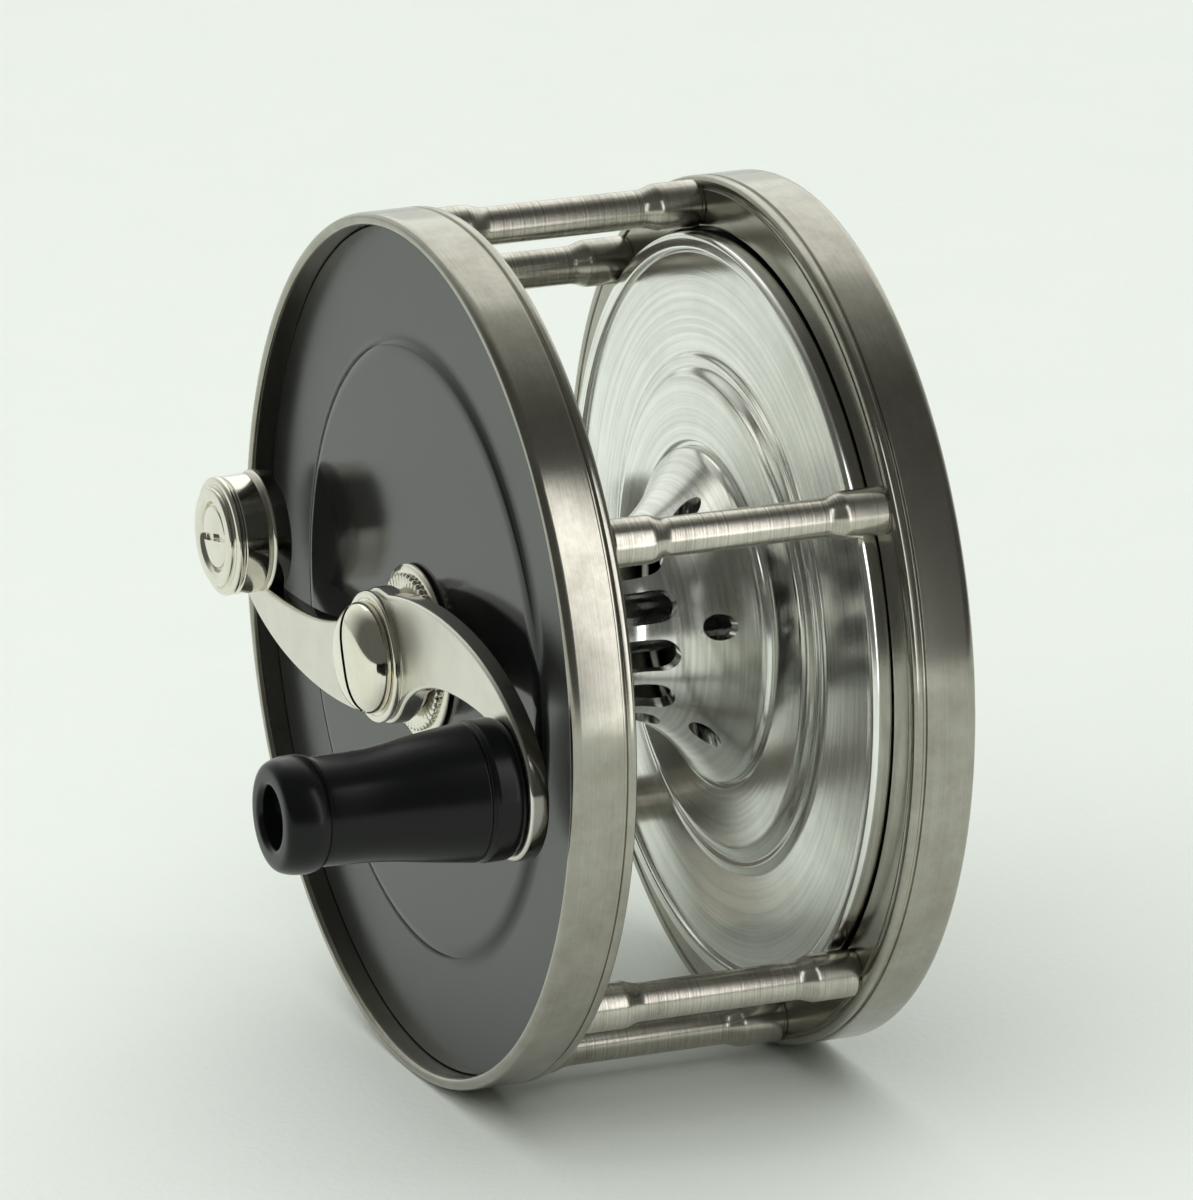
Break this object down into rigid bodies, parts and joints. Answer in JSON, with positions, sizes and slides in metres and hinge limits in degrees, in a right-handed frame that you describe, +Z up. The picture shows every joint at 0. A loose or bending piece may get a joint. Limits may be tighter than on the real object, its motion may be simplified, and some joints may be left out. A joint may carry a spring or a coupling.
{
  "type": "fly fishing reel",
  "caption": "Wide fly fishing reel: S-shaped crank with knob and counterweight, black plates in nickel rims on turned pillars, pierced trumpet arbor on an aluminium spool.",
  "frame": {"origin": "on the surface the reel stands on, below the middle of its box", "axes": "+Y along the spool axis from the crank side to the back, +X towards the crank knob, +Z up"},
  "size_m": [0.1028, 0.075, 0.095],
  "materials": {
    "satin_nickel": "satin nickel silver with fine turning marks",
    "bright_nickel": "polished nickel silver",
    "aluminium": "polished, with turning marks",
    "black_plate": "semi-gloss black hard rubber",
    "black_rubber": "satin black hard rubber",
    "steel": "turned steel",
    "brass": "plain turned brass",
    "leather": "oiled leather"
  },
  "bodies": {
    "frame": {"bearing_screw_1": "bright_nickel", "bearing_screw_2": "bright_nickel", "bearing_screw_3": "bright_nickel", "drag_spring": "steel", "drag_washer": "leather", "foot_screw_1": "bright_nickel", "foot_screw_2": "bright_nickel", "foot_screw_3": "bright_nickel", "foot_screw_4": "bright_nickel", "front_bushing": "brass", "front_plate": "black_plate", "front_ring": "satin_nickel", "pillar_1": "satin_nickel", "pillar_2": "satin_nickel", "pillar_3": "satin_nickel", "pillar_4": "satin_nickel", "pillar_5": "satin_nickel", "pillar_6": "satin_nickel", "pillar_7": "satin_nickel", "plate_screw_1": "bright_nickel", "plate_screw_2": "bright_nickel", "plate_screw_3": "bright_nickel", "plate_screw_4": "bright_nickel", "rear_bearing_cap": "satin_nickel", "rear_plate": "black_plate", "rear_ring": "satin_nickel", "reel_foot": "satin_nickel"},
    "spool": {"spindle": "steel", "spool_arbor": "aluminium", "spool_front_flange": "aluminium", "spool_rear_flange": "aluminium", "ratchet_wheel": "steel", "crank_arm": "satin_nickel", "crank_washer": "bright_nickel", "crank_cap_screw": "bright_nickel", "counterweight": "bright_nickel", "counterweight_screw": "bright_nickel", "knob_post": "steel", "knob_screw": "steel"},
    "knob": {"knob": "black_rubber"},
    "drag_wheel": {"drag_wheel": "bright_nickel"},
    "click_slide": {"click_slide": "brass", "click_button": "satin_nickel", "pawl_pin": "steel", "pawl_spring": "steel"},
    "click_pawl": {"click_pawl": "steel"}
  },
  "joints": [
    {"name": "spool_spin", "type": "hinge", "parent": "frame", "child": "spool", "pos_m": [0.00386, 0.01452, 0.0475], "axis": [0, 1, 0], "continuous": true},
    {"name": "knob_spin", "type": "hinge", "parent": "spool", "child": "knob", "pos_m": [0.0386, -0.02442, 0.04317], "axis": [0, 1, 0], "continuous": true},
    {"name": "drag_wheel_turn", "type": "hinge", "parent": "frame", "child": "drag_wheel", "pos_m": [0.00386, -0.00747, 0.0475], "axis": [0, 1, 0], "range_deg": [0, 300]},
    {"name": "click_slide_travel", "type": "slide", "parent": "frame", "child": "click_slide", "axis": [0, 0, 1], "range_m": [0, 0.0025]},
    {"name": "click_pawl_swing", "type": "hinge", "parent": "click_slide", "child": "click_pawl", "pos_m": [0.00386, 0.03002, 0.0645], "axis": [0, 1, 0], "range_deg": [-2.5, 2.5], "stiffness_Nm_per_rad": 0.002}
  ]
}
